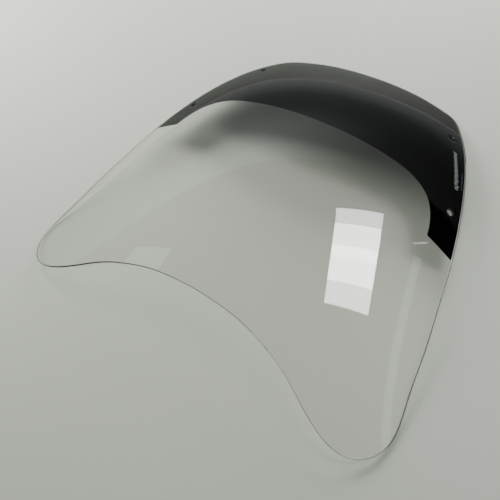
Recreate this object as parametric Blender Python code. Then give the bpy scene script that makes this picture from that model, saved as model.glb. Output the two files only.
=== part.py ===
"""Motorcycle windshield screen: one clear moulded sheet with a printed lower band.

The screen lies the way it rests on a bench: convex face up, on its two upper
horns and its two lower corners.  +X runs across the screen, +Y from the
concave top edge to the lower mounting edge, +Z up.
"""
import math

import bmesh
import bpy
from mathutils import Vector
from mathutils.geometry import delaunay_2d_cdt

MM = 0.001

# ---- driving dimensions, millimetres ------------------------------------
SHEET = 3.0                 # thickness of the clear sheet
EDGE_ROUND = 0.7            # eased edge on both faces
EDGE_MARGIN = 1.9           # clear lip outside the print
PRINT_GAP = 0.4             # air drawn between sheet and print
PRINT_THICK = 0.3           # drawn thickness of the print film

HOLE_R = 4.0                # fixing hole
SEAT_R = 6.25               # flat washer seat round the hole, outer face
SEAT_D = 0.2
SEAT_DRAFT = 0.12           # the recess wall leans outwards by this
HOLE_MOUTH_R = 4.5          # chamfer from the seat into the hole
HOLE_MOUTH_D = 0.5
RIM_R = 7.0                 # where the plain sheet begins again
PRINT_CLEAR_R = 4.6         # the print stops this far from a hole's axis
HOLE_SIDES = 18
HOLES = ((173.9, 51.15), (-173.9, 51.15), (133.8, 156.55), (-133.8, 156.55))

# outer face: crown line along Y, and how fast the sides fall away
CROWN = 72.8
CROWN_Y = -9.08
CROWN_R = 526.0
CROWN_TWIST = 1.05
CROSS = (11.544e-4, 0.839e-4, -0.714e-4)
CROSS4 = (3.983e-9, 1.133e-9)

PITCH = 21.0                # spacing of the faces across the sheet
EDGE_PITCH = 13.0
EDGE_TURN = math.radians(11.0)

# right half of the outline in plan, from the middle of the top edge
# round the horn and down the side to the middle of the lower edge
OUTLINE = (
    (0.0, -171.3), (30.0, -172.5), (58.0, -175.6), (84.0, -181.9),
    (112.0, -191.6), (142.0, -207.6), (166.0, -219.3), (181.0, -223.6),
    (193.0, -224.0), (204.0, -220.9), (214.0, -213.0), (222.0, -201.5),
    (225.8, -188.5), (226.0, -173.0), (221.6, -143.8), (216.4, -101.4),
    (208.0, -49.6), (199.2, 1.5), (190.5, 39.8), (178.6, 82.9),
    (165.6, 121.7), (149.5, 159.5), (133.7, 187.6), (124.6, 200.3),
    (114.6, 208.2), (102.0, 211.8), (82.4, 217.0), (52.5, 222.0),
    (25.0, 223.9), (0.0, 224.2),
)

# right half of the upper border of the print
BORDER = (
    (0.0, 71.3), (30.0, 71.2), (60.0, 70.7), (90.0, 68.8),
    (114.0, 65.9), (131.0, 60.4), (146.0, 50.6), (156.0, 37.4),
    (162.4, 22.6), (166.1, 8.0),
)
BORDER_TIP = (199.2, 1.5)

# printed marks on the right: a plain tapered stripe and a fine line
MARK_A = ((145.4, 138.0), (168.3, 84.5))
MARK_A_WIDTH = (4.6, 6.4)
MARK_B = ((164.0, 113.5), (172.6, 89.0))
MARK_B_WIDTH = (1.1, 1.1)
MARK_GAP = 0.35
MARK_SLANT = 0.8              # slope of the stripe ends
MARK_STEPS = 7


def crown(y):
    s = (y - CROWN_Y) / 100.0
    return CROWN - (y - CROWN_Y) ** 2 / (2.0 * CROWN_R) - CROWN_TWIST * s ** 3


def height(x, y):
    s = (y - CROWN_Y) / 100.0
    k = CROSS[0] + CROSS[1] * s + CROSS[2] * s * s
    q = CROSS4[0] + CROSS4[1] * s
    return crown(y) - k * x * x - q * x ** 4


def normal(x, y):
    d = 0.05
    slope_x = (height(x + d, y) - height(x - d, y)) / (2.0 * d)
    slope_y = (height(x, y + d) - height(x, y - d)) / (2.0 * d)
    return Vector((-slope_x, -slope_y, 1.0)).normalized()


def at(x, y, depth=0.0):
    """Point of the sheet over plan (x, y), depth below the outer face."""
    return Vector((x, y, height(x, y))) - depth * normal(x, y)


def solve_tridiagonal(lower, diag, upper, rhs):
    n = len(rhs)
    c = [0.0] * n
    d = [0.0] * n
    c[0] = upper[0] / diag[0]
    d[0] = rhs[0] / diag[0]
    for i in range(1, n):
        m = diag[i] - lower[i] * c[i - 1]
        c[i] = upper[i] / m
        d[i] = (rhs[i] - lower[i] * d[i - 1]) / m
    out = [0.0] * n
    out[-1] = d[-1]
    for i in range(n - 2, -1, -1):
        out[i] = d[i] - c[i] * out[i + 1]
    return out


def spline(points, per_span=24):
    """Smooth cubic curve through points; returns a dense list of points."""
    pts = [Vector(p) for p in points]
    n = len(pts)
    h = [(pts[i + 1] - pts[i]).length for i in range(n - 1)]
    lower = [0.0] * n
    diag = [1.0] * n
    upper = [0.0] * n
    for i in range(1, n - 1):
        lower[i] = h[i - 1]
        diag[i] = 2.0 * (h[i - 1] + h[i])
        upper[i] = h[i]
    second = []
    for axis in (0, 1):
        rhs = [0.0] * n
        for i in range(1, n - 1):
            rise = (pts[i + 1][axis] - pts[i][axis]) / h[i]
            fall = (pts[i][axis] - pts[i - 1][axis]) / h[i - 1]
            rhs[i] = 6.0 * (rise - fall)
        second.append(solve_tridiagonal(lower, diag, upper, rhs))
    dense = []
    for i in range(n - 1):
        for j in range(per_span):
            t = j / per_span
            a = 1.0 - t
            point = []
            for axis in (0, 1):
                m0 = second[axis][i]
                m1 = second[axis][i + 1]
                base = a * pts[i][axis] + t * pts[i + 1][axis]
                bend = (a ** 3 - a) * m0 + (t ** 3 - t) * m1
                point.append(base + bend * h[i] ** 2 / 6.0)
            dense.append(Vector(point))
    dense.append(pts[-1])
    return dense


def mirrored(half):
    """Left half, reversed, then the right half, without a double centre."""
    left = [Vector((-p[0], p[1])) for p in reversed(half)]
    return left[:-1] + [Vector(p) for p in half]


def thin_out(dense, pitch, turn):
    """Keep the points of a dense curve needed to follow it closely."""
    kept = [dense[0]]
    run = 0.0
    bend = 0.0
    for i in range(1, len(dense) - 1):
        step = dense[i] - dense[i - 1]
        ahead = dense[i + 1] - dense[i]
        run += step.length
        bend += abs(step.angle_signed(ahead))
        if run >= pitch or bend >= turn:
            kept.append(dense[i])
            run = 0.0
            bend = 0.0
    if (kept[-1] - dense[-1]).length < 0.45 * pitch and len(kept) > 1:
        kept.pop()
    kept.append(dense[-1])
    return kept


def half_outline():
    """Right half of the outline, evenly thinned, ends on the centre line."""
    count = 6
    full = mirrored(OUTLINE)
    n = len(OUTLINE)
    wrapped = full[n - 1 - count:]
    tail = [Vector((-p[0], p[1])) for p in reversed(OUTLINE[-1 - count:-1])]
    dense = spline(wrapped + tail)
    begin = count * 24
    end = begin + (n - 1) * 24
    return thin_out(dense[begin:end + 1], EDGE_PITCH, EDGE_TURN)


def closed_outline():
    """Counter-clockwise loop seen from above."""
    half = half_outline()
    left = [Vector((-p[0], p[1])) for p in reversed(half[1:-1])]
    return half + left


def inset(loop, distance):
    """Move a counter-clockwise loop inwards by distance."""
    n = len(loop)
    out = []
    for i in range(n):
        along = (loop[(i + 1) % n] - loop[i - 1]).normalized()
        out.append(loop[i] + distance * Vector((-along.y, along.x)))
    return out


def border_line():
    half = spline(mirrored(BORDER), 12)
    middle = (len(half) - 1) // 2
    right = thin_out(half[middle:], 15.0, math.radians(14.0))
    tip = Vector(BORDER_TIP)
    corner = right[-1]
    reach = tip - 0.6 * EDGE_MARGIN * (tip - corner).normalized()
    line = right + [corner.lerp(tip, 0.5), reach]
    return mirrored(line)


def stripe(ends, widths, grow=0.0):
    """Slanted stripe in plan, counter-clockwise, with points down its sides."""
    a = Vector(ends[0])
    b = Vector(ends[1])
    along = (b - a).normalized()
    side = Vector((-along.y, along.x))
    reach = grow * math.hypot(1.0, MARK_SLANT)
    a = a - reach * along
    b = b + reach * along
    wa = widths[0] / 2.0 + grow
    wb = widths[1] / 2.0 + grow
    slant = side + MARK_SLANT * along
    near = [a - wa * slant, b - wb * slant]
    far = [b + wb * slant, a + wa * slant]
    out = []
    for p, q in (near, far):
        for i in range(MARK_STEPS):
            out.append(p.lerp(q, i / (MARK_STEPS - 1)))
    return out


def inside(point, loop):
    hit = False
    n = len(loop)
    for i in range(n):
        p = loop[i]
        q = loop[i - 1]
        if (p.y > point.y) != (q.y > point.y):
            cross = (q.x - p.x) * (point.y - p.y) / (q.y - p.y) + p.x
            if point.x < cross:
                hit = not hit
    return hit


def distance_to(point, line):
    best = 1e9
    for i in range(len(line) - 1):
        a = line[i]
        d = line[i + 1] - a
        t = max(0.0, min(1.0, (point - a).dot(d) / max(d.length_squared, 1e-12)))
        best = min(best, (point - a - t * d).length)
    return best


class Hole:
    """A fixing hole, square to the sheet, with a flat seat round its mouth."""

    def __init__(self, x, y):
        self.centre = at(x, y)
        self.axis = normal(x, y)
        self.u = Vector((1.0, 0.0, 0.0))
        self.u = (self.u - self.axis * self.u.dot(self.axis)).normalized()
        self.v = self.axis.cross(self.u)

    def ring(self, radius, depth):
        out = []
        for i in range(HOLE_SIDES):
            a = 2.0 * math.pi * i / HOLE_SIDES
            spoke = math.cos(a) * self.u + math.sin(a) * self.v
            out.append(self.centre - depth * self.axis + radius * spoke)
        return out

    def plan(self, radius):
        return [Vector((p.x, p.y)) for p in self.ring(radius, 0.0)]


def grid_points(loop, lines):
    """Rows of points that fill the sheet between its edges."""
    out = []
    row_step = PITCH * math.sqrt(3.0) / 2.0
    rows = int(480.0 / row_step)
    for j in range(rows + 1):
        y = -240.0 + j * row_step
        start = 0.0 if j % 2 == 0 else PITCH / 2.0
        for i in range(-12, 13):
            p = Vector((start + i * PITCH, y))
            if start and i == 12:
                continue
            if not inside(p, loop):
                continue
            if min(distance_to(p, line) for line in lines) > 0.42 * PITCH:
                out.append(p)
    return out


def triangulate(loops, lines, loose):
    """Delaunay triangles that respect closed loops and open lines."""
    verts = []
    edges = []
    for group, closed in [(g, True) for g in loops] + [(g, False) for g in lines]:
        first = len(verts)
        verts.extend(group)
        n = len(group)
        for i in range(n if closed else n - 1):
            edges.append((first + i, first + (i + 1) % n))
    verts.extend(loose)
    result = delaunay_2d_cdt(verts, edges, [], 0, 1e-6)
    points = result[0]
    tris = []
    for tri in result[2]:
        a, b, c = [points[i] for i in tri]
        if abs((b - a).cross(c - a)) > 0.01:
            tris.append(tri)
    return points, tris


def centroid(points, tri):
    return (points[tri[0]] + points[tri[1]] + points[tri[2]]) / 3.0


def material(name, colour, roughness, alpha=1.0, transmission=0.0):
    m = bpy.data.materials.new(name)
    m.use_nodes = True
    shader = m.node_tree.nodes["Principled BSDF"]
    shader.inputs["Base Color"].default_value = (*colour, 1.0)
    shader.inputs["Roughness"].default_value = roughness
    shader.inputs["Metallic"].default_value = 0.0
    shader.inputs["IOR"].default_value = 1.49
    shader.inputs["Alpha"].default_value = alpha
    shader.inputs["Transmission Weight"].default_value = transmission
    return m


class Builder:
    """Collects faces by position and welds them into one closed body."""

    def __init__(self):
        self.bm = bmesh.new()
        self.index = {}

    def vert(self, p):
        key = (round(p.x * 2e4), round(p.y * 2e4), round(p.z * 2e4))
        if key not in self.index:
            self.index[key] = self.bm.verts.new(p * MM)
        return self.index[key]

    def tri(self, a, b, c):
        va, vb, vc = self.vert(a), self.vert(b), self.vert(c)
        if len({va, vb, vc}) == 3:
            self.bm.faces.new((va, vb, vc))

    def strip(self, lower, upper):
        """Close the gap between two loops with the same number of points."""
        n = len(lower)
        for i in range(n):
            j = (i + 1) % n
            a, b = lower[i], lower[j]
            c, d = upper[j], upper[i]
            if (a - c).length <= (b - d).length:
                self.tri(a, b, c)
                self.tri(a, c, d)
            else:
                self.tri(a, b, d)
                self.tri(b, c, d)

    def make(self, name, mat, lift):
        bmesh.ops.translate(self.bm, verts=self.bm.verts, vec=(0.0, 0.0, lift))
        bmesh.ops.recalc_face_normals(self.bm, faces=self.bm.faces)
        mesh = bpy.data.meshes.new(name)
        self.bm.to_mesh(mesh)
        self.bm.free()
        mesh.materials.append(mat)
        mesh.shade_smooth()
        mesh.set_sharp_from_angle(angle=math.radians(30.0))
        obj = bpy.data.objects.new(name, mesh)
        bpy.context.scene.collection.objects.link(obj)
        return obj

    def lowest(self):
        return min(v.co.z for v in self.bm.verts)


def panel(face_loop, edge_loop, holes, points, tris):
    """The clear sheet: two faces, an eased edge and four finished holes."""
    body = Builder()
    for tri in tris:
        a, b, c = [points[i] for i in tri]
        body.tri(at(*a), at(*b), at(*c))
        body.tri(at(*a, SHEET), at(*c, SHEET), at(*b, SHEET))
    rims = [
        [at(*p) for p in face_loop],
        [at(*p, EDGE_ROUND) for p in edge_loop],
        [at(*p, SHEET - EDGE_ROUND) for p in edge_loop],
        [at(*p, SHEET) for p in face_loop],
    ]
    for i in range(3):
        body.strip(rims[i], rims[i + 1])
    for hole in holes:
        rim = hole.plan(RIM_R)
        brink = [Vector((p.x, p.y)) for p in hole.ring(SEAT_R + SEAT_DRAFT, 0.0)]
        back = []
        for p in [Vector((p.x, p.y)) for p in hole.ring(HOLE_R, SHEET)]:
            q = p.copy()
            for _ in range(4):
                miss = at(*q, SHEET)
                q = q + (p - Vector((miss.x, miss.y)))
            back.append(at(*q, SHEET))
        rings = [
            [at(*p) for p in rim],
            [at(*p) for p in brink],
            hole.ring(SEAT_R, SEAT_D),
            hole.ring(HOLE_MOUTH_R, SEAT_D),
            hole.ring(HOLE_R, SEAT_D + HOLE_MOUTH_D),
            back,
            [at(*p, SHEET) for p in rim],
        ]
        for i in range(len(rings) - 1):
            body.strip(rings[i], rings[i + 1])
    return body


def film(points, tris):
    """A thin printed layer under the sheet, with walls on all its borders."""
    body = Builder()
    top = SHEET + PRINT_GAP
    low = top + PRINT_THICK
    count = {}
    for tri in tris:
        a, b, c = [points[i] for i in tri]
        body.tri(at(*a, top), at(*b, top), at(*c, top))
        body.tri(at(*a, low), at(*c, low), at(*b, low))
        for i in range(3):
            edge = (tri[i], tri[(i + 1) % 3])
            count[edge] = True
    for edge in count:
        if (edge[1], edge[0]) in count:
            continue
        p, q = points[edge[0]], points[edge[1]]
        a, b = at(*p, top), at(*q, top)
        c, d = at(*q, low), at(*p, low)
        body.tri(a, d, c)
        body.tri(a, c, b)
    return body


def build():
    for obj in list(bpy.data.objects):
        bpy.data.objects.remove(obj, do_unlink=True)

    edge_loop = closed_outline()
    face_loop = inset(edge_loop, EDGE_ROUND)
    print_loop = inset(edge_loop, EDGE_MARGIN)
    border = border_line()
    holes = [Hole(x, y) for x, y in HOLES]
    hole_loops = [hole.plan(RIM_R) for hole in holes]
    print_holes = [hole.plan(PRINT_CLEAR_R) for hole in holes]
    print_edge = print_loop + [print_loop[0]]
    around = [print_edge, border] + [h + [h[0]] for h in hole_loops]
    loose = grid_points(face_loop, around)

    points, tris = triangulate([face_loop, print_loop] + hole_loops, [border], loose)
    sheet = []
    for tri in tris:
        c = centroid(points, tri)
        if inside(c, face_loop) and not any(inside(c, h) for h in hole_loops):
            sheet.append(tri)
    body = panel(face_loop, edge_loop, holes, points, sheet)
    lift = -body.lowest()

    mark_a = stripe(MARK_A, MARK_A_WIDTH)
    mark_b = stripe(MARK_B, MARK_B_WIDTH)
    slots = [stripe(MARK_A, MARK_A_WIDTH, MARK_GAP),
             stripe(MARK_B, MARK_B_WIDTH, MARK_GAP)]
    slot_lines = [s + [s[0]] for s in slots]
    loose = [p for p in loose if min(distance_to(p, s) for s in slot_lines) > 4.0]
    band_points, band_tris = triangulate(
        [face_loop, print_loop] + print_holes + hole_loops + slots, [border], loose)
    field = border + [Vector((260.0, 300.0)), Vector((-260.0, 300.0))]
    keep = []
    for tri in band_tris:
        c = centroid(band_points, tri)
        if not inside(c, print_loop) or not inside(c, field):
            continue
        if any(inside(c, h) for h in print_holes + slots):
            continue
        keep.append(tri)
    band = film(band_points, keep)
    main = film(*triangulate([mark_a], [], []))
    fine = film(*triangulate([mark_b], [], []))

    clear = material("clear_sheet", (0.80, 0.82, 0.79), 0.03, 0.35, 0.9)
    black = material("black_print", (0.006, 0.006, 0.007), 0.12)
    white = material("white_print", (0.82, 0.83, 0.82), 0.35)
    blue = material("blue_print", (0.10, 0.22, 0.42), 0.35)
    body.make("screen_panel", clear, lift)
    band.make("blackout_band", black, lift)
    main.make("print_mark_main", white, lift)
    fine.make("print_mark_fine", blue, lift)


build()
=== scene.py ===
"""Looks of the motorcycle windshield screen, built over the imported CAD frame."""
import math

import bmesh
import bpy
from mathutils import Matrix, Vector
from mathutils.geometry import delaunay_2d_cdt


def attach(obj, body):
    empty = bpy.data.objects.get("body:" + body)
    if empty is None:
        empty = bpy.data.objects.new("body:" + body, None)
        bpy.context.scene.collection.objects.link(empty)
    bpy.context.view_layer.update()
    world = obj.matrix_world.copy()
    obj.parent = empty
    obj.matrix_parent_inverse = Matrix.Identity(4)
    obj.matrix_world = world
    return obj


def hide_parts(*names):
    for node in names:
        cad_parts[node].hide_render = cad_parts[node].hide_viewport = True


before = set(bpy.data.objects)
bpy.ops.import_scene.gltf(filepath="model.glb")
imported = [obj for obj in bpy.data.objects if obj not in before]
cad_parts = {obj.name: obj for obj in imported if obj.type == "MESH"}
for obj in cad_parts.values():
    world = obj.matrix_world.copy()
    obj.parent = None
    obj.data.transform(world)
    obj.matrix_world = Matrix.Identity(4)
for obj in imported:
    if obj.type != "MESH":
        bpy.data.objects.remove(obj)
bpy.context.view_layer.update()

MM = 0.001

# ---- dimensions repeated from the part, millimetres ----------------------
SHEET = 3.0
SKIN = 0.16                 # keeps the fine faces inside the coarser CAD faces
HOLE_R = 4.0
HOLE_MOUTH_R = 4.5
HOLE_MOUTH_D = 0.5
SEAT_R = 6.25
SEAT_D = 0.2
SEAT_DRAFT = 0.12
RIM_R = 7.0
# the real ink is bonded to the inner face and reaches nearly to every edge,
# so each layer's front is set a little way into the clear sheet
PRINT_MARGIN = 1.1
PRINT_CLEAR_R = 4.25
INK_TOP = SHEET - 0.06
INK_LOW = SHEET + 0.12
MARK_TOP = INK_TOP - 0.06
MARK_LOW = INK_TOP + 0.03
HOLE_SIDES = 48
HOLE_REACH = 9.0            # nothing of a hole lies further than this from its middle
HOLES = ((173.9, 51.15), (-173.9, 51.15), (133.8, 156.55), (-133.8, 156.55))

CROWN = 72.048
CROWN_Y = -9.08
CROWN_R = 526.0
CROWN_TWIST = 1.05
CROSS = (11.544e-4, 0.839e-4, -0.714e-4)
CROSS4 = (3.983e-9, 1.133e-9)

PITCH = 7.0
EDGE_PITCH = 5.0
EDGE_TURN = math.radians(5.0)
BORDER_PITCH = 5.0
BORDER_TURN = math.radians(4.0)
BORDER_TIP_STEPS = 6
OUTLINE_IN = 0.2            # keeps the fine outline inside the coarser CAD outline
SPLINE_STEPS = 24           # points along each span of the outline's spline
BORDER_STEPS = 12
FIELD = 240.0               # half the width and length that the loose points cover
CELL = 10.0                 # side of a square in the search grid
LONG_EDGE = 12.0            # edges longer than this aren't in the search grid
SLIVER = 0.002              # twice the area of the smallest triangle kept
WELD = 2e4                  # points nearer than a millimetre over this are one
HOLE_SLOTS = (0, 0, 0, 2, 2, 0)         # material of each strip round a hole, face to back; the two wall strips take the black ink as painted shade, for the dark seen down each hole
# profile of the eased edge: distance in from the outline, depth below the face
EDGE_PROFILE = (
    (0.75, 0.0), (0.42, 0.07), (0.16, 0.26), (0.02, 0.62),
    (0.02, 2.38), (0.16, 2.74), (0.42, 2.93), (0.75, 3.0),
)

OUTLINE = (
    (0.0, -171.3), (30.0, -172.5), (58.0, -175.6), (84.0, -181.9),
    (112.0, -191.6), (142.0, -207.6), (166.0, -219.3), (181.0, -223.6),
    (193.0, -224.0), (204.0, -220.9), (214.0, -213.0), (222.0, -201.5),
    (225.8, -188.5), (226.0, -173.0), (221.6, -143.8), (216.4, -101.4),
    (208.0, -49.6), (199.2, 1.5), (190.5, 39.8), (178.6, 82.9),
    (165.6, 121.7), (149.5, 159.5), (133.7, 187.6), (124.6, 200.3),
    (114.6, 208.2), (102.0, 211.8), (82.4, 217.0), (52.5, 222.0),
    (25.0, 223.9), (0.0, 224.2),
)
BORDER = (
    (0.0, 71.3), (30.0, 71.2), (60.0, 70.7), (90.0, 68.8),
    (114.0, 65.9), (131.0, 60.4), (146.0, 50.6), (156.0, 37.4),
    (162.4, 22.6), (166.1, 8.0),
)
BORDER_TIP = (199.2, 1.5)

MARK_A = ((145.4, 138.0), (168.3, 84.5))
MARK_A_WIDTH = (4.6, 6.4)
MARK_B = ((164.0, 113.5), (172.6, 89.0))
MARK_B_WIDTH = 1.1

# ---- the room, metres -----------------------------------------------------
TABLE_REACH = 0.8           # the table is evenly pale as far as this from the part
FLOOR_HALF = 6.0
FLOOR_DROP = 0.0002         # keeps the floor clear of the part's lowest points
ROOM = 3.0                  # distance of the mirrored window and lamps
CEILING_LINE = (0.371, -0.643, 0.669)   # directions on this side are ceiling
CEILING_BLUR = 0.012
LENS = 37.566               # millimetres, on a sensor 36 mm wide
CAMERA_PLACE = (0.215, -0.30825, 0.50259)
CAMERA_RIGHT = (0.82795, 0.55094, -0.10468)
CAMERA_UP = (-0.42901, 0.74249, 0.51447)


# ---- the surface ----------------------------------------------------------
def height(x, y):
    s = (y - CROWN_Y) / 100.0
    crown = CROWN - (y - CROWN_Y) ** 2 / (2.0 * CROWN_R) - CROWN_TWIST * s ** 3
    k = CROSS[0] + CROSS[1] * s + CROSS[2] * s * s
    q = CROSS4[0] + CROSS4[1] * s
    return crown - k * x * x - q * x ** 4


def normal(x, y):
    d = 0.05
    slope_x = (height(x + d, y) - height(x - d, y)) / (2.0 * d)
    slope_y = (height(x, y + d) - height(x, y - d)) / (2.0 * d)
    return Vector((-slope_x, -slope_y, 1.0)).normalized()


def at(x, y, depth=0.0):
    return Vector((x, y, height(x, y))) - depth * normal(x, y)


# ---- plan curves ----------------------------------------------------------
def solve_tridiagonal(lower, diag, upper, rhs):
    n = len(rhs)
    c = [0.0] * n
    d = [0.0] * n
    c[0] = upper[0] / diag[0]
    d[0] = rhs[0] / diag[0]
    for i in range(1, n):
        m = diag[i] - lower[i] * c[i - 1]
        c[i] = upper[i] / m
        d[i] = (rhs[i] - lower[i] * d[i - 1]) / m
    out = [0.0] * n
    out[-1] = d[-1]
    for i in range(n - 2, -1, -1):
        out[i] = d[i] - c[i] * out[i + 1]
    return out


def spline(points, per_span=SPLINE_STEPS):
    pts = [Vector(p) for p in points]
    n = len(pts)
    h = [(pts[i + 1] - pts[i]).length for i in range(n - 1)]
    lower = [0.0] * n
    diag = [1.0] * n
    upper = [0.0] * n
    for i in range(1, n - 1):
        lower[i] = h[i - 1]
        diag[i] = 2.0 * (h[i - 1] + h[i])
        upper[i] = h[i]
    second = []
    for axis in (0, 1):
        rhs = [0.0] * n
        for i in range(1, n - 1):
            rise = (pts[i + 1][axis] - pts[i][axis]) / h[i]
            fall = (pts[i][axis] - pts[i - 1][axis]) / h[i - 1]
            rhs[i] = 6.0 * (rise - fall)
        second.append(solve_tridiagonal(lower, diag, upper, rhs))
    dense = []
    for i in range(n - 1):
        for j in range(per_span):
            t = j / per_span
            a = 1.0 - t
            point = []
            for axis in (0, 1):
                base = a * pts[i][axis] + t * pts[i + 1][axis]
                bend = (a ** 3 - a) * second[axis][i] + (t ** 3 - t) * second[axis][i + 1]
                point.append(base + bend * h[i] ** 2 / 6.0)
            dense.append(Vector(point))
    dense.append(pts[-1])
    return dense


def mirrored(half):
    left = [Vector((-p[0], p[1])) for p in reversed(half)]
    return left[:-1] + [Vector(p) for p in half]


def thin_out(dense, pitch, turn):
    kept = [dense[0]]
    run = 0.0
    bend = 0.0
    for i in range(1, len(dense) - 1):
        step = dense[i] - dense[i - 1]
        ahead = dense[i + 1] - dense[i]
        run += step.length
        bend += abs(step.angle_signed(ahead))
        if run >= pitch or bend >= turn:
            kept.append(dense[i])
            run = 0.0
            bend = 0.0
    if (kept[-1] - dense[-1]).length < 0.45 * pitch and len(kept) > 1:
        kept.pop()
    kept.append(dense[-1])
    return kept


def closed_outline():
    count = 6
    full = mirrored(OUTLINE)
    n = len(OUTLINE)
    wrapped = full[n - 1 - count:]
    tail = [Vector((-p[0], p[1])) for p in reversed(OUTLINE[-1 - count:-1])]
    dense = spline(wrapped + tail)
    begin = count * SPLINE_STEPS
    end = begin + (n - 1) * SPLINE_STEPS
    half = thin_out(dense[begin:end + 1], EDGE_PITCH, EDGE_TURN)
    left = [Vector((-p[0], p[1])) for p in reversed(half[1:-1])]
    return half + left


def inset(loop, distance):
    n = len(loop)
    out = []
    for i in range(n):
        along = (loop[(i + 1) % n] - loop[i - 1]).normalized()
        out.append(loop[i] + distance * Vector((-along.y, along.x)))
    return out


def border_line():
    half = spline(mirrored(BORDER), BORDER_STEPS)
    middle = (len(half) - 1) // 2
    right = thin_out(half[middle:], BORDER_PITCH, BORDER_TURN)
    tip = Vector(BORDER_TIP)
    corner = right[-1]
    reach = tip - 0.6 * PRINT_MARGIN * (tip - corner).normalized()
    steps = BORDER_TIP_STEPS
    line = right + [corner.lerp(reach, (i + 1) / steps) for i in range(steps)]
    return mirrored(line)


def inside(point, loop):
    hit = False
    for i in range(len(loop)):
        p = loop[i]
        q = loop[i - 1]
        if (p.y > point.y) != (q.y > point.y):
            if point.x < (q.x - p.x) * (point.y - p.y) / (q.y - p.y) + p.x:
                hit = not hit
    return hit


class Hole:
    """A fixing hole, square to the sheet, with a flat seat on the outer face."""

    def __init__(self, x, y):
        self.plan_centre = Vector((x, y))
        self.centre = at(x, y)
        self.axis = normal(x, y)
        self.u = Vector((1.0, 0.0, 0.0))
        self.u = (self.u - self.axis * self.u.dot(self.axis)).normalized()
        self.v = self.axis.cross(self.u)

    def ring(self, radius, depth):
        out = []
        for i in range(HOLE_SIDES):
            a = 2.0 * math.pi * i / HOLE_SIDES
            spoke = math.cos(a) * self.u + math.sin(a) * self.v
            out.append(self.centre - depth * self.axis + radius * spoke)
        return out

    def plan(self, radius):
        return [Vector((p.x, p.y)) for p in self.ring(radius, 0.0)]


def near(point, cells, reach):
    """True if any stored point lies within reach, found through a coarse grid."""
    i = int(point.x // CELL)
    j = int(point.y // CELL)
    for a in (-1, 0, 1):
        for b in (-1, 0, 1):
            for p in cells.get((i + a, j + b), ()):
                if (p - point).length < reach:
                    return True
    return False


def grid_points(loop, curves):
    """Rows of points that fill the sheet, clear of every curve."""
    cells = {}
    for curve in curves:
        for k in range(len(curve)):
            p = curve[k]
            q = curve[(k + 1) % len(curve)]
            if (q - p).length > LONG_EDGE:
                continue
            for t in (0.0, 0.5):
                r = p.lerp(q, t)
                cells.setdefault((int(r.x // CELL), int(r.y // CELL)), []).append(r)
    out = []
    row_step = PITCH * math.sqrt(3.0) / 2.0
    rows = int(2.0 * FIELD / row_step)
    wide = int(FIELD / PITCH)
    for j in range(rows + 1):
        y = -FIELD + j * row_step
        start = 0.0 if j % 2 == 0 else PITCH / 2.0
        for i in range(-wide, wide + 1):
            p = Vector((start + i * PITCH, y))
            if near(p, cells, 0.55 * PITCH):
                continue
            if inside(p, loop):
                out.append(p)
    return out


def triangulate(loops, lines, loose):
    verts = []
    edges = []
    for group, closed in [(g, True) for g in loops] + [(g, False) for g in lines]:
        first = len(verts)
        verts.extend(group)
        n = len(group)
        for i in range(n if closed else n - 1):
            edges.append((first + i, first + (i + 1) % n))
    verts.extend(loose)
    result = delaunay_2d_cdt(verts, edges, [], 0, 1e-6)
    points = result[0]
    tris = []
    for tri in result[2]:
        a, b, c = [points[i] for i in tri]
        if abs((b - a).cross(c - a)) > SLIVER:
            tris.append(tri)
    return points, tris


def centroid(points, tri):
    return (points[tri[0]] + points[tri[1]] + points[tri[2]]) / 3.0


class Builder:
    """Collects faces by position and welds them into one mesh."""

    def __init__(self):
        self.bm = bmesh.new()
        self.index = {}
        self.slot = 0

    def vert(self, p):
        key = (round(p.x * WELD), round(p.y * WELD), round(p.z * WELD))
        if key not in self.index:
            self.index[key] = self.bm.verts.new(p * MM)
        return self.index[key]

    def tri(self, a, b, c):
        va, vb, vc = self.vert(a), self.vert(b), self.vert(c)
        if len({va, vb, vc}) == 3:
            face = self.bm.faces.new((va, vb, vc))
            face.material_index = self.slot

    def strip(self, lower, upper):
        n = len(lower)
        for i in range(n):
            j = (i + 1) % n
            a, b = lower[i], lower[j]
            c, d = upper[j], upper[i]
            if (a - c).length <= (b - d).length:
                self.tri(a, b, c)
                self.tri(a, c, d)
            else:
                self.tri(a, b, d)
                self.tri(b, c, d)

    def make(self, name, mats, sharp=30.0):
        bmesh.ops.recalc_face_normals(self.bm, faces=self.bm.faces)
        mesh = bpy.data.meshes.new(name)
        self.bm.to_mesh(mesh)
        self.bm.free()
        for mat in mats:
            mesh.materials.append(mat)
        mesh.shade_smooth()
        mesh.set_sharp_from_angle(angle=math.radians(sharp))
        obj = bpy.data.objects.new(name, mesh)
        bpy.context.scene.collection.objects.link(obj)
        return obj


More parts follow.
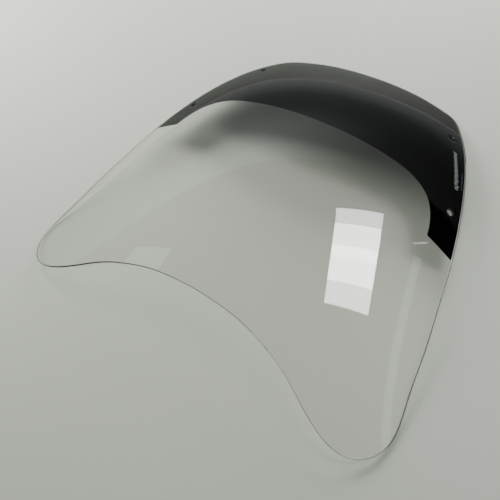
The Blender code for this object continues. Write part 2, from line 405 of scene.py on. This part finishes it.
def sheet_body(outline, holes, points, tris):
    """The clear sheet: faces in slot 0, outer edge in slot 1, hole walls in slot 2. The edge's dark
    tint and the black hole walls are painted shade.
    """
    body = Builder()
    for tri in tris:
        a, b, c = [points[i] for i in tri]
        body.tri(at(*a, SKIN), at(*b, SKIN), at(*c, SKIN))
        body.tri(at(*a, SHEET), at(*c, SHEET), at(*b, SHEET))
    rims = []
    for gap, depth in EDGE_PROFILE:
        rims.append([at(*p, max(depth, SKIN)) for p in inset(outline, gap)])
    body.slot = 1
    for i in range(len(rims) - 1):
        body.strip(rims[i], rims[i + 1])
    for hole in holes:
        rim = hole.plan(RIM_R)
        brink = [Vector((p.x, p.y)) for p in hole.ring(SEAT_R + SEAT_DRAFT, 0.0)]
        back = []
        for p in [Vector((p.x, p.y)) for p in hole.ring(HOLE_R, SHEET)]:
            q = p.copy()
            for _ in range(4):
                miss = at(*q, SHEET)
                q = q + (p - Vector((miss.x, miss.y)))
            back.append(at(*q, SHEET))
        rings = [
            [at(*p, SKIN) for p in rim],
            [at(*p, SKIN) for p in brink],
            hole.ring(SEAT_R, SEAT_D + 0.5 * SKIN),
            hole.ring(HOLE_MOUTH_R, SEAT_D + 0.5 * SKIN),
            hole.ring(HOLE_R, SEAT_D + HOLE_MOUTH_D),
            back,
            [at(*p, SHEET) for p in rim],
        ]
        for i in range(len(rings) - 1):
            body.slot = HOLE_SLOTS[i]
            body.strip(rings[i], rings[i + 1])
    return body


def film(points, tris, top, low):
    """A printed layer: its front in slot 0, its back and borders in slot 1."""
    body = Builder()
    sides = set()
    for tri in tris:
        a, b, c = [points[i] for i in tri]
        body.slot = 0
        body.tri(at(*a, top), at(*b, top), at(*c, top))
        body.slot = 1
        body.tri(at(*a, low), at(*c, low), at(*b, low))
        for i in range(3):
            sides.add((tri[i], tri[(i + 1) % 3]))
    for edge in sides:
        if (edge[1], edge[0]) in sides:
            continue
        p, q = points[edge[0]], points[edge[1]]
        a, b = at(*p, top), at(*q, top)
        c, d = at(*q, low), at(*p, low)
        body.tri(a, d, c)
        body.tri(a, c, b)
    return body


# ---- materials ------------------------------------------------------------
class Nodes:
    """Small helper for node materials."""

    def __init__(self, name):
        self.mat = bpy.data.materials.new(name)
        self.mat.use_nodes = True
        self.tree = self.mat.node_tree
        self.shader = self.tree.nodes["Principled BSDF"]
        self.output = self.tree.nodes["Material Output"]

    def add(self, kind, **values):
        node = self.tree.nodes.new(kind)
        for key, value in values.items():
            if key in node.inputs:
                node.inputs[key].default_value = value
            else:
                setattr(node, key, value)
        return node

    def link(self, source, target):
        self.tree.links.new(source, target)

    def noise(self, scale, detail=3.0, rough=0.5, stretch=None):
        coords = self.add("ShaderNodeTexCoord")
        out = coords.outputs["Object"]
        if stretch:
            mapping = self.add("ShaderNodeMapping")
            mapping.inputs["Scale"].default_value = stretch
            self.link(out, mapping.inputs["Vector"])
            out = mapping.outputs["Vector"]
        node = self.add("ShaderNodeTexNoise", Scale=scale, Detail=detail, Roughness=rough)
        self.link(out, node.inputs["Vector"])
        return node.outputs["Fac"]

    def spread(self, value, low, high, to_low, to_high):
        node = self.add("ShaderNodeMapRange")
        node.inputs["From Min"].default_value = low
        node.inputs["From Max"].default_value = high
        node.inputs["To Min"].default_value = to_low
        node.inputs["To Max"].default_value = to_high
        self.link(value, node.inputs["Value"])
        return node.outputs["Result"]

    def bump(self, value, distance, strength):
        node = self.add("ShaderNodeBump", Distance=distance, Strength=strength)
        self.link(value, node.inputs["Height"])
        self.link(node.outputs["Normal"], self.shader.inputs["Normal"])

    def set(self, **values):
        for key, value in values.items():
            self.shader.inputs[key.replace("_", " ")].default_value = value


def clear_plastic(name, tint, lamp_tint, rough, dust):
    """Clear sheet that lets lamps through, with faint wipe marks and dust."""
    n = Nodes(name)
    n.set(Base_Color=(*tint, 1.0), IOR=1.49, Transmission_Weight=1.0)
    wipe = n.noise(9.0, 4.0, 0.6, (1.0, 0.25, 1.0))
    n.link(n.spread(wipe, 0.35, 0.75, rough, rough * 2.2), n.shader.inputs["Roughness"])
    specks = n.noise(900.0, 2.0, 0.5)
    cloud = n.noise(16.0, 3.0, 0.55)
    grain = n.spread(specks, 0.66, 0.78, dust * 0.1, dust * 3.0)
    patch = n.spread(cloud, 0.35, 0.7, 0.4, 1.0)
    amount = n.add("ShaderNodeMath", operation="MULTIPLY")
    n.link(grain, amount.inputs[0])
    n.link(patch, amount.inputs[1])
    haze = n.add("ShaderNodeBsdfDiffuse")
    haze.inputs["Color"].default_value = (0.85, 0.86, 0.84, 1.0)
    dusty = n.add("ShaderNodeMixShader")
    n.link(amount.outputs[0], dusty.inputs["Fac"])
    n.link(n.shader.outputs[0], dusty.inputs[1])
    n.link(haze.outputs[0], dusty.inputs[2])
    path = n.add("ShaderNodeLightPath")
    through = n.add("ShaderNodeBsdfTransparent")
    through.inputs["Color"].default_value = (*lamp_tint, 1.0)
    mix = n.add("ShaderNodeMixShader")
    either = n.add("ShaderNodeMath", operation="MAXIMUM")
    n.link(path.outputs["Is Shadow Ray"], either.inputs[0])
    n.link(path.outputs["Is Diffuse Ray"], either.inputs[1])
    n.link(either.outputs[0], mix.inputs["Fac"])
    n.link(dusty.outputs[0], mix.inputs[1])
    n.link(through.outputs[0], mix.inputs[2])
    n.link(mix.outputs[0], n.output.inputs["Surface"])
    return n.mat


def ink(name, colour, rough, specular, vary, bump):
    """Printed ink, patchy in colour and faintly grained."""
    n = Nodes(name)
    n.set(Specular_IOR_Level=specular)
    patches = n.noise(60.0, 4.0, 0.6)
    ramp = n.add("ShaderNodeValToRGB")
    ramp.color_ramp.elements[0].color = (*[c * (1.0 - vary) for c in colour], 1.0)
    ramp.color_ramp.elements[1].color = (*[c * (1.0 + vary) for c in colour], 1.0)
    n.link(patches, ramp.inputs["Fac"])
    n.link(ramp.outputs["Color"], n.shader.inputs["Base Color"])
    grain = n.noise(700.0, 2.0, 0.5)
    n.link(n.spread(grain, 0.3, 0.7, rough * 0.85, rough * 1.15), n.shader.inputs["Roughness"])
    if bump:
        n.bump(grain, 0.00004, bump)
    return n.mat


def table_top():
    """Pale table, darker to mirrored rays and glowing far away so that it stays pale."""
    n = Nodes("table_paint")
    cloud = n.noise(1.6, 3.0, 0.5)
    ramp = n.add("ShaderNodeValToRGB")
    ramp.color_ramp.elements[0].position = 0.3
    ramp.color_ramp.elements[1].position = 0.7
    ramp.color_ramp.elements[0].color = (0.600, 0.634, 0.545, 1.0)
    ramp.color_ramp.elements[1].color = (0.632, 0.666, 0.576, 1.0)
    n.link(cloud, ramp.inputs["Fac"])
    coords = n.add("ShaderNodeTexCoord")
    away = n.add("ShaderNodeVectorMath", operation="LENGTH")
    n.link(coords.outputs["Object"], away.inputs[0])
    path = n.add("ShaderNodeLightPath")
    bounced = n.add("ShaderNodeMath", operation="SUBTRACT")
    n.link(path.outputs["Is Glossy Ray"], bounced.inputs[0])
    n.link(path.outputs["Is Transmission Ray"], bounced.inputs[1])
    mirrored = n.spread(bounced.outputs[0], 0.0, 1.0, 1.0, 0.30)
    shade = n.add("ShaderNodeVectorMath", operation="SCALE")
    n.link(ramp.outputs["Color"], shade.inputs[0])
    n.link(mirrored, shade.inputs["Scale"])
    n.link(shade.outputs[0], n.shader.inputs["Base Color"])
    glow = n.spread(away.outputs["Value"], TABLE_REACH, 2.0 * TABLE_REACH, 0.0, 0.47)
    n.link(glow, n.shader.inputs["Emission Strength"])
    n.set(Emission_Color=(1.0, 1.0, 0.98, 1.0))
    n.set(Roughness=0.55, Specular_IOR_Level=0.3)
    return n.mat


# ---- build ----------------------------------------------------------------
outline = inset(closed_outline(), OUTLINE_IN)
face_loop = inset(outline, EDGE_PROFILE[0][0])
print_loop = inset(outline, PRINT_MARGIN)
border = border_line()
holes = [Hole(x, y) for x, y in HOLES]
hole_loops = [hole.plan(RIM_R) for hole in holes]
print_holes = [hole.plan(PRINT_CLEAR_R) for hole in holes]
loose = grid_points(face_loop, [face_loop, print_loop, border] + hole_loops)


def in_loops(c, loops):
    return any((c - h.plan_centre).length < HOLE_REACH and inside(c, loop)
               for h, loop in zip(holes, loops))


points, tris = triangulate([face_loop, print_loop] + hole_loops, [border], loose)
sheet_tris = []
for tri in tris:
    c = centroid(points, tri)
    if inside(c, face_loop) and not in_loops(c, hole_loops):
        sheet_tris.append(tri)

ink_points, tris = triangulate([print_loop] + print_holes + hole_loops, [border], loose)
field = border + [Vector((260.0, 300.0)), Vector((-260.0, 300.0))]
band_tris = []
for tri in tris:
    c = centroid(ink_points, tri)
    if c.y > -5.0 and inside(c, print_loop) and inside(c, field):
        if not in_loops(c, print_holes):
            band_tris.append(tri)

sheet_mat = clear_plastic("clear_sheet_face", (0.90, 0.905, 0.89), (0.945, 0.95, 0.94), 0.012, 0.003)
# the edge's dark tint is painted shade, standing in for the dark line that refraction draws along a
# cut edge of clear sheet; its dark lamp tint makes the edge cast deeper contact shadows
edge_painted_dark_mat = clear_plastic("clear_sheet_edge_painted_dark", (0.14, 0.15, 0.145), (0.15, 0.16, 0.155), 0.16, 0.02)
black_front = ink("black_ink_front", (0.0014, 0.0015, 0.0016), 0.5, 0.0, 0.25, 0.0)
black_ink_and_hole_shade = ink("black_ink_back_and_hole_shade", (0.012, 0.012, 0.013), 0.38, 0.5, 0.2, 0.3)
white_ink = ink("white_ink", (0.55, 0.57, 0.57), 0.5, 0.2, 0.12, 0.0)
blue_ink = ink("blue_ink", (0.10, 0.14, 0.22), 0.5, 0.2, 0.2, 0.0)

# slot 2 gives the hole walls the black ink: painted shade standing in for the dark seen down each
# hole, while the band's back keeps the same ink as real print
panel = sheet_body(outline, holes, points, sheet_tris).make(
    "sheet_clear", [sheet_mat, edge_painted_dark_mat, black_ink_and_hole_shade])
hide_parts("screen_panel")
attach(panel, "root")

band = film(ink_points, band_tris, INK_TOP, INK_LOW).make(
    "band_print", [black_front, black_ink_and_hole_shade])
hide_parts("blackout_band")
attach(band, "root")


def slanted(ends, widths, pieces, fill, slant):
    """Short slanted dashes along a line, each a four-cornered loop."""
    a = Vector(ends[0])
    b = Vector(ends[1])
    along = (b - a).normalized()
    side = Vector((-along.y, along.x))
    step = (b - a) / pieces
    loops = []
    for i in range(pieces):
        middle = a + step * (i + 0.5)
        t = (i + 0.5) / pieces
        w = (widths[0] + (widths[1] - widths[0]) * t) / 2.0
        w = w * (0.72 + 0.28 * math.cos(2.4 * i))
        half = 0.5 * step * fill
        lean = side + slant * (1.0, -0.5, 0.4)[i % 3] * along
        loops.append([middle - half - w * lean, middle + half - w * lean,
                      middle + half + w * lean, middle - half + w * lean])
    return loops


def dashes(name, loops, top, low, mats):
    body = Builder()
    for loop in loops:
        body.slot = 0
        upper = [at(*p, top) for p in loop]
        lower = [at(*p, low) for p in loop]
        body.tri(upper[0], upper[1], upper[2])
        body.tri(upper[0], upper[2], upper[3])
        body.tri(lower[0], lower[2], lower[1])
        body.tri(lower[0], lower[3], lower[2])
        body.strip(upper, lower)
    return body.make(name, mats)


mark_a = dashes("mark_dashes", slanted(MARK_A, MARK_A_WIDTH, 21, 0.30, 0.6),
                MARK_TOP, MARK_LOW, [white_ink])
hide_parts("print_mark_main")
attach(mark_a, "root")

mark_b = dashes("mark_line", slanted(MARK_B, (MARK_B_WIDTH, MARK_B_WIDTH), 11, 0.55, 0.4),
                MARK_TOP, MARK_LOW, [blue_ink])
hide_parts("print_mark_fine")
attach(mark_b, "root")

# ---- floor ----------------------------------------------------------------
floor_mesh = bpy.data.meshes.new("floor")
bm = bmesh.new()
bmesh.ops.create_grid(bm, x_segments=1, y_segments=1, size=FLOOR_HALF)
bm.to_mesh(floor_mesh)
bm.free()
floor_mesh.materials.append(table_top())
floor = bpy.data.objects.new("floor", floor_mesh)
floor.location = (0.0, 0.0, -FLOOR_DROP)
bpy.context.scene.collection.objects.link(floor)


# ---- light ----------------------------------------------------------------
def panel_light(name, centre, across, up, power, colour=(1.0, 1.0, 1.0)):
    """A rectangular lamp at centre, its sides along across and up, facing the part."""
    centre = Vector(centre)
    width = Vector(across)
    tall = Vector(up)
    face = -centre.normalized()
    x = (width - face * width.dot(face)).normalized()
    z = -face
    y = z.cross(x)
    data = bpy.data.lights.new(name, "AREA")
    data.shape = "RECTANGLE"
    data.size = width.length
    data.size_y = tall.length
    data.energy = power
    data.color = colour
    lamp = bpy.data.objects.new(name, data)
    lamp.matrix_world = Matrix.Translation(centre) @ Matrix((x, y, z)).transposed().to_4x4()
    bpy.context.scene.collection.objects.link(lamp)
    return lamp


# the window seen in the sheet: panes from its top to its foot, size share and power.
# They don't light matt surfaces: window_fill does that from the same place.
PANES = [(0.20, 11.0), (0.25, 39.0), (0.12, 30.0), (0.23, 44.0), (0.20, 17.0)]
window_at = Vector((0.325, 0.345, 0.881)) * ROOM
window_fall = Vector((0.215, -0.39, 0.08)) * ROOM
window_across = Vector((0.229, 0.158, -0.157)) * ROOM
done = 0.0
for share, power in PANES:
    middle = window_at + window_fall * (done + share / 2.0 - 0.5)
    pane = panel_light("window_pane", middle, window_fall * share, window_across, power,
                       (1.0, 0.99, 0.97))
    pane.visible_diffuse = False
    done += share

# lamps that light the table and aren't seen mirrored or through the sheet
fills = [
    ("left_fill", (-0.88, 0.06, 0.52), 0.5, 10.2),
    ("back_fill", (0.15, 0.80, 0.45), 0.4, 1.5),
    ("far_fill", (-0.25, 1.00, 0.50), 0.5, 10.0),
    ("front_fill", (0.35, -0.90, 0.60), 0.6, 0.5),
    ("window_fill", (0.975, 1.035, 2.643), 0.9, 14.0),
]
for name, place, size, power in fills:
    fill = panel_light(name, place, (size, 0.0, 0.0), (0.0, size, 0.0), power)
    fill.visible_glossy = False
    fill.visible_transmission = False
panel_light("side_strip", Vector((0.70, 0.30, 0.64)) * ROOM,
            Vector((0.14, -0.46, 0.07)) * ROOM, Vector((0.03, 0.02, -0.05)) * ROOM, 1.0)
panel_light("small_tube", Vector((0.582, 0.568, 0.576)) * ROOM,
            Vector((0.045, 0.036, -0.086)) * ROOM, Vector((0.006, -0.006, 0.002)) * ROOM, 0.1)
panel_light("left_lamp", Vector((-0.689, -0.117, 0.72)) * ROOM,
            Vector((0.146, 0.012, 0.134)) * ROOM, Vector((0.05, -0.06, 0.047)) * ROOM, 0.7)


def room_light():
    """A plain room: a pale wall behind and on the left, brightest on the left
    and under a dark ceiling, and a soft glow from the right. The camera and
    rays through the sheet see an even pale backdrop instead."""
    world = bpy.data.worlds.new("room")
    world.use_nodes = True
    tree = world.node_tree
    background = tree.nodes["Background"]
    coords = tree.nodes.new("ShaderNodeTexCoord")

    def join(operation, a, b):
        node = tree.nodes.new("ShaderNodeMath")
        node.operation = operation
        tree.links.new(a, node.inputs[0])
        tree.links.new(b, node.inputs[1])
        return node.outputs[0]

    def along(direction, low, high, to_low, to_high):
        dot = tree.nodes.new("ShaderNodeVectorMath")
        dot.operation = "DOT_PRODUCT"
        dot.inputs[1].default_value = Vector(direction).normalized()
        tree.links.new(coords.outputs["Generated"], dot.inputs[0])
        ramp = tree.nodes.new("ShaderNodeMapRange")
        ramp.interpolation_type = "SMOOTHSTEP"
        for socket, value in zip(ramp.inputs[1:5], (low, high, to_low, to_high)):
            socket.default_value = value
        tree.links.new(dot.outputs["Value"], ramp.inputs["Value"])
        return ramp.outputs["Result"]

    left = (-0.86, 0.50, 0.0)
    wall = along(left, 0.10, 0.95, 0.08, 0.27)
    low = join("MULTIPLY", along((0.0, 0.0, 1.0), 0.0, 0.22, 0.25, 0.0),
               along((-0.3, 1.0, 0.0), 0.3, 0.8, 0.0, 1.0))
    high = join("MULTIPLY", along((0.0, 0.0, 1.0), 0.30, 0.70, 0.0, 1.25),
                along((-0.97, 0.20, 0.0), 0.10, 0.85, 0.10, 1.00))
    wall = join("ADD", join("ADD", wall, low), high)
    wall = join("MULTIPLY", wall, along(CEILING_LINE, -CEILING_BLUR, CEILING_BLUR, 1.0, 0.0))
    right = along((1.0, 0.0, 0.14), 0.80, 1.0, 0.0, 1.2)
    tree.links.new(join("ADD", wall, right), background.inputs["Strength"])
    background.inputs["Color"].default_value = (0.95, 1.0, 0.99, 1.0)
    backdrop = tree.nodes.new("ShaderNodeBackground")
    backdrop.inputs["Color"].default_value = (0.57, 0.59, 0.56, 1.0)
    path = tree.nodes.new("ShaderNodeLightPath")
    seen = join("MAXIMUM", path.outputs["Is Camera Ray"], path.outputs["Is Transmission Ray"])
    mix = tree.nodes.new("ShaderNodeMixShader")
    tree.links.new(seen, mix.inputs["Fac"])
    tree.links.new(background.outputs[0], mix.inputs[1])
    tree.links.new(backdrop.outputs[0], mix.inputs[2])
    tree.links.new(mix.outputs[0], tree.nodes["World Output"].inputs["Surface"])
    bpy.context.scene.world = world


room_light()

# ---- camera ---------------------------------------------------------------
camera_data = bpy.data.cameras.new("camera")
camera_data.sensor_width = 36.0
camera_data.lens = LENS
camera_data.clip_start = 0.01
camera = bpy.data.objects.new("camera", camera_data)
right = Vector(CAMERA_RIGHT)
upward = Vector(CAMERA_UP)
back = right.cross(upward).normalized()
upward = back.cross(right)
turn = Matrix((right, upward, back)).transposed().to_4x4()
camera.matrix_world = Matrix.Translation(CAMERA_PLACE) @ turn
bpy.context.scene.collection.objects.link(camera)
bpy.context.scene.camera = camera
